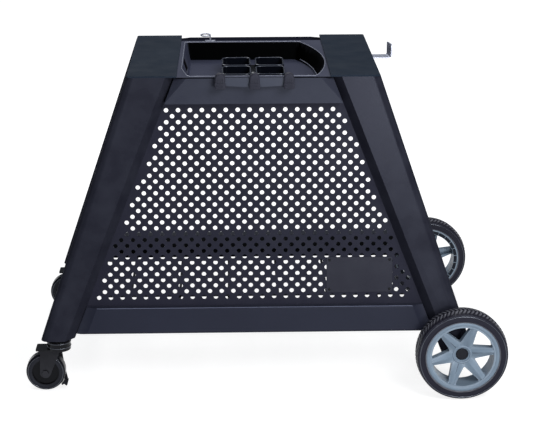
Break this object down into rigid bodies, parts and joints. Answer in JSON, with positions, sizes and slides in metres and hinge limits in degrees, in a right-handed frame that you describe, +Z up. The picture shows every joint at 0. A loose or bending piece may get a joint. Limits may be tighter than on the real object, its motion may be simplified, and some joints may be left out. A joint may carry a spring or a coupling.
{
  "type": "grill cart",
  "caption": "Grill cart of folded steel: splayed legs, perforated front panel, tray top with caddy and tool hooks, wire shelf, spoked wheels and braked swivel casters.",
  "frame": {"origin": "on the floor below the middle of the overall length and depth", "axes": "+X towards the end with the large wheels, +Y towards the open back, +Z up"},
  "size_m": [0.9794, 0.6482, 0.6715],
  "materials": {
    "frame_coat": "satin dark blue-grey powder coat",
    "panel_coat": "fine-textured dark blue-grey powder coat",
    "tray_coat": "satin dark blue-grey powder coat",
    "wire_coat": "satin dark coat on welded wire",
    "badge_metal": "satin black coat, bare of any marking",
    "zinc": "bright zinc plate",
    "plug_plastic": "moulded black",
    "caddy_plastic": "glossy moulded black",
    "hook_plastic": "ribbed moulded black",
    "band_metal": "satin dark blue-grey powder coat",
    "hub_plastic": "satin blue-grey moulding",
    "tyre_rubber": "moulded tread, matt black",
    "caster_metal": "black coated pressing",
    "caster_plastic": "glossy moulded black",
    "caster_tread": "smooth black tread"
  },
  "bodies": {
    "frame": {"leg_front_left": "frame_coat", "leg_front_right": "frame_coat", "leg_rear_left": "frame_coat", "leg_rear_right": "frame_coat", "top_plate_left": "frame_coat", "top_plate_right": "frame_coat", "apron_front": "frame_coat", "apron_rear": "frame_coat", "rail_front": "frame_coat", "rail_rear": "frame_coat", "end_rail_left": "frame_coat", "end_rail_right": "frame_coat", "end_beam_left": "frame_coat", "end_beam_right": "frame_coat", "side_hanger": "frame_coat", "front_panel": "panel_coat", "tray": "tray_coat", "wire_shelf": "wire_coat", "badge_plate": "badge_metal", "badge_rivets": "zinc", "caddy_screw": "zinc", "rail_bolts": "zinc", "axle": "zinc", "caster_stem_front": "zinc", "caster_stem_rear": "zinc", "wire_eye": "zinc", "caster_socket_front": "plug_plastic", "caster_socket_rear": "plug_plastic", "leg_plug_front": "plug_plastic", "leg_plug_rear": "plug_plastic", "axle_spacer_front": "plug_plastic", "axle_spacer_rear": "plug_plastic", "axle_cap_front": "plug_plastic", "axle_cap_rear": "plug_plastic", "caddy": "caddy_plastic", "tool_hooks": "hook_plastic", "tool_band": "band_metal"},
    "wheel_front": {"wheel_hub_front": "hub_plastic", "wheel_tyre_front": "tyre_rubber"},
    "wheel_rear": {"wheel_hub_rear": "hub_plastic", "wheel_tyre_rear": "tyre_rubber"},
    "caster_front": {"caster_fork_front": "caster_metal", "caster_axle_front": "zinc", "caster_brake_pin_front": "zinc"},
    "caster_front_wheel": {"caster_core_front": "caster_plastic", "caster_tyre_front": "caster_tread"},
    "caster_front_brake": {"caster_brake_front": "caster_metal"},
    "caster_rear": {"caster_fork_rear": "caster_metal", "caster_axle_rear": "zinc", "caster_brake_pin_rear": "zinc"},
    "caster_rear_wheel": {"caster_core_rear": "caster_plastic", "caster_tyre_rear": "caster_tread"},
    "caster_rear_brake": {"caster_brake_rear": "caster_metal"}
  },
  "joints": [
    {"name": "wheel_front_spin", "type": "hinge", "parent": "frame", "child": "wheel_front", "pos_m": [0.39625, -0.30011, 0.0935], "axis": [0, 1, 0], "continuous": true},
    {"name": "wheel_rear_spin", "type": "hinge", "parent": "frame", "child": "wheel_rear", "pos_m": [0.39625, 0.30011, 0.0935], "axis": [0, 1, 0], "continuous": true},
    {"name": "caster_front_swivel", "type": "hinge", "parent": "frame", "child": "caster_front", "pos_m": [-0.42125, -0.23617, 0.095], "axis": [0, 0, 1], "continuous": true},
    {"name": "caster_front_spin", "type": "hinge", "parent": "caster_front", "child": "caster_front_wheel", "pos_m": [-0.44975, -0.23617, 0.04], "axis": [0, 1, 0], "continuous": true},
    {"name": "caster_front_brake_press", "type": "hinge", "parent": "caster_front", "child": "caster_front_brake", "pos_m": [-0.41905, -0.23617, 0.03569], "axis": [0, 1, 0], "range_deg": [0, 5]},
    {"name": "caster_rear_swivel", "type": "hinge", "parent": "frame", "child": "caster_rear", "pos_m": [-0.42125, 0.23617, 0.095], "axis": [0, 0, 1], "continuous": true},
    {"name": "caster_rear_spin", "type": "hinge", "parent": "caster_rear", "child": "caster_rear_wheel", "pos_m": [-0.44975, 0.23617, 0.04], "axis": [0, 1, 0], "continuous": true},
    {"name": "caster_rear_brake_press", "type": "hinge", "parent": "caster_rear", "child": "caster_rear_brake", "pos_m": [-0.41905, 0.23617, 0.03569], "axis": [0, 1, 0], "range_deg": [0, 5]}
  ]
}
